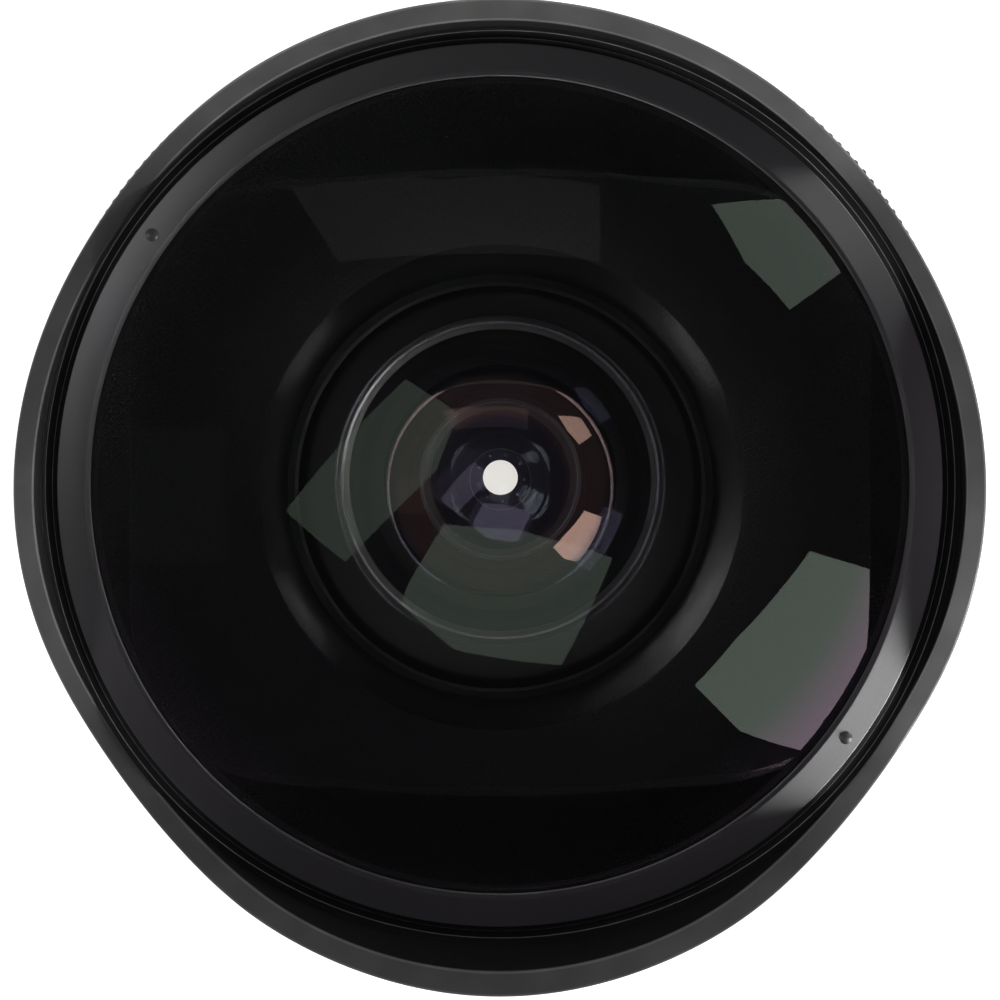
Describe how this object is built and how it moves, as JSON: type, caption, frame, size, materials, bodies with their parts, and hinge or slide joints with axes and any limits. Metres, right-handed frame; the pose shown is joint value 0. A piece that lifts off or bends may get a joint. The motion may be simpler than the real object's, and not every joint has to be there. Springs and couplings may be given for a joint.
{
  "type": "fisheye lens",
  "caption": "Manual fisheye camera lens with a deep domed front glass, a fixed petal hood, ribbed focus ring, clicked aperture ring with working iris, and a rear bayonet mount.",
  "frame": {"origin": "centre of the seating face of the rear bayonet mount's flange, on the optical axis", "axes": "+Z along the optical axis towards the subject, +Y through the middle of one long petal, +X through the middle of one short petal and the mount's index dot"},
  "size_m": [0.075, 0.075, 0.0812],
  "materials": {
    "mount_chrome": "brushed chrome plate",
    "screw_steel": "plain steel",
    "black_screw": "blackened steel",
    "index_red": "gloss red",
    "barrel_metal": "black satin paint",
    "hood_metal": "black satin paint, flat inside",
    "ring_metal": "black satin anodised",
    "inner_metal": "flat black",
    "cam_metal": "dark anodised",
    "baffle_plastic": "fine-grained",
    "blade_steel": "dark dry film",
    "spring_steel": "bright",
    "roller_brass": "turned",
    "grip_rubber": "satin ribbed",
    "seal_rubber": "matte",
    "coated_glass": "multi-coated"
  },
  "bodies": {
    "barrel": {"bayonet_mount": "mount_chrome", "mount_screws": "screw_steel", "index_dot": "index_red", "rear_barrel": "barrel_metal", "rear_light_baffle": "baffle_plastic", "depth_scale_ring": "barrel_metal", "depth_ring_screws": "black_screw", "fixed_barrel": "inner_metal", "iris_housing": "inner_metal", "housing_screws": "screw_steel", "iris_base_plate": "blade_steel", "iris_plate_screws": "screw_steel", "rear_lens_tube": "inner_metal", "rear_tube_screws": "screw_steel", "sixth_element": "coated_glass", "seventh_element": "coated_glass", "rear_spacer_front": "inner_metal", "eighth_element": "coated_glass", "rear_spacer_rear": "inner_metal", "ninth_element": "coated_glass", "tenth_element": "coated_glass", "rear_retaining_ring": "inner_metal", "click_spring": "spring_steel", "click_spring_screw": "screw_steel", "focus_stop_pin": "screw_steel", "petal_hood": "hood_metal", "hood_screws": "black_screw", "front_cell": "inner_metal", "front_cell_screws": "black_screw", "front_element": "coated_glass", "front_gasket": "seal_rubber", "front_retaining_ring": "ring_metal", "spanner_hole_plugs": "seal_rubber", "hood_seal_ring": "seal_rubber", "second_element": "coated_glass", "second_retaining_ring": "inner_metal"},
    "focus_ring": {"focus_ring": "ring_metal", "focus_grip": "grip_rubber", "cam_ring": "cam_metal", "cam_ring_screws": "screw_steel"},
    "focus_cell": {"focus_cell": "inner_metal", "cam_rollers": "roller_brass", "roller_screws": "screw_steel", "third_element": "coated_glass", "third_retaining_ring": "inner_metal", "fourth_element": "coated_glass", "fifth_element": "coated_glass", "doublet_retaining_ring": "inner_metal"},
    "aperture_ring": {"aperture_ring": "ring_metal", "aperture_drive_pin": "screw_steel"},
    "iris_ring": {"iris_ring": "blade_steel"},
    "iris_blade_1": {"iris_blade_1": "blade_steel"},
    "iris_blade_2": {"iris_blade_2": "blade_steel"},
    "iris_blade_3": {"iris_blade_3": "blade_steel"},
    "iris_blade_4": {"iris_blade_4": "blade_steel"},
    "iris_blade_5": {"iris_blade_5": "blade_steel"},
    "iris_blade_6": {"iris_blade_6": "blade_steel"},
    "iris_blade_7": {"iris_blade_7": "blade_steel"},
    "iris_blade_8": {"iris_blade_8": "blade_steel"},
    "iris_blade_9": {"iris_blade_9": "blade_steel"}
  },
  "joints": [
    {"name": "focus_turn", "type": "hinge", "parent": "barrel", "child": "focus_ring", "pos_m": [0, 0, 0.0382], "axis": [0, 0, 1], "range_deg": [0, 90]},
    {"name": "cell_slide", "type": "slide", "parent": "barrel", "child": "focus_cell", "axis": [0, 0, 1], "range_m": [0, 0.0016]},
    {"name": "aperture_turn", "type": "hinge", "parent": "barrel", "child": "aperture_ring", "pos_m": [0, 0, 0.014], "axis": [0, 0, 1], "range_deg": [0, 36]},
    {"name": "iris_turn", "type": "hinge", "parent": "barrel", "child": "iris_ring", "pos_m": [0, 0, 0.0245], "axis": [0, 0, 1], "range_deg": [0, 36]},
    {"name": "blade_1_turn", "type": "hinge", "parent": "barrel", "child": "iris_blade_1", "pos_m": [0.00942, 0.0066, 0.0255], "axis": [0, 0, 1], "range_deg": [0, 15]},
    {"name": "blade_2_turn", "type": "hinge", "parent": "barrel", "child": "iris_blade_2", "pos_m": [0.00298, 0.01111, 0.0255], "axis": [0, 0, 1], "range_deg": [0, 15]},
    {"name": "blade_3_turn", "type": "hinge", "parent": "barrel", "child": "iris_blade_3", "pos_m": [-0.00486, 0.01042, 0.0255], "axis": [0, 0, 1], "range_deg": [0, 15]},
    {"name": "blade_4_turn", "type": "hinge", "parent": "barrel", "child": "iris_blade_4", "pos_m": [-0.01042, 0.00486, 0.0255], "axis": [0, 0, 1], "range_deg": [0, 15]},
    {"name": "blade_5_turn", "type": "hinge", "parent": "barrel", "child": "iris_blade_5", "pos_m": [-0.01111, -0.00298, 0.0255], "axis": [0, 0, 1], "range_deg": [0, 15]},
    {"name": "blade_6_turn", "type": "hinge", "parent": "barrel", "child": "iris_blade_6", "pos_m": [-0.0066, -0.00942, 0.0255], "axis": [0, 0, 1], "range_deg": [0, 15]},
    {"name": "blade_7_turn", "type": "hinge", "parent": "barrel", "child": "iris_blade_7", "pos_m": [0.001, -0.01146, 0.0255], "axis": [0, 0, 1], "range_deg": [0, 15]},
    {"name": "blade_8_turn", "type": "hinge", "parent": "barrel", "child": "iris_blade_8", "pos_m": [0.00813, -0.00813, 0.0255], "axis": [0, 0, 1], "range_deg": [0, 15]},
    {"name": "blade_9_turn", "type": "hinge", "parent": "barrel", "child": "iris_blade_9", "pos_m": [0.01146, -0.001, 0.0255], "axis": [0, 0, 1], "range_deg": [0, 15]}
  ],
  "couplings": [
    {"joint": "cell_slide", "follows": "focus_turn", "m_per_rad": 0.0010186},
    {"joint": "iris_turn", "follows": "aperture_turn", "ratio": 1},
    {"joint": "blade_1_turn", "follows": "aperture_turn", "ratio": 0.41667},
    {"joint": "blade_2_turn", "follows": "aperture_turn", "ratio": 0.41667},
    {"joint": "blade_3_turn", "follows": "aperture_turn", "ratio": 0.41667},
    {"joint": "blade_4_turn", "follows": "aperture_turn", "ratio": 0.41667},
    {"joint": "blade_5_turn", "follows": "aperture_turn", "ratio": 0.41667},
    {"joint": "blade_6_turn", "follows": "aperture_turn", "ratio": 0.41667},
    {"joint": "blade_7_turn", "follows": "aperture_turn", "ratio": 0.41667},
    {"joint": "blade_8_turn", "follows": "aperture_turn", "ratio": 0.41667},
    {"joint": "blade_9_turn", "follows": "aperture_turn", "ratio": 0.41667}
  ]
}
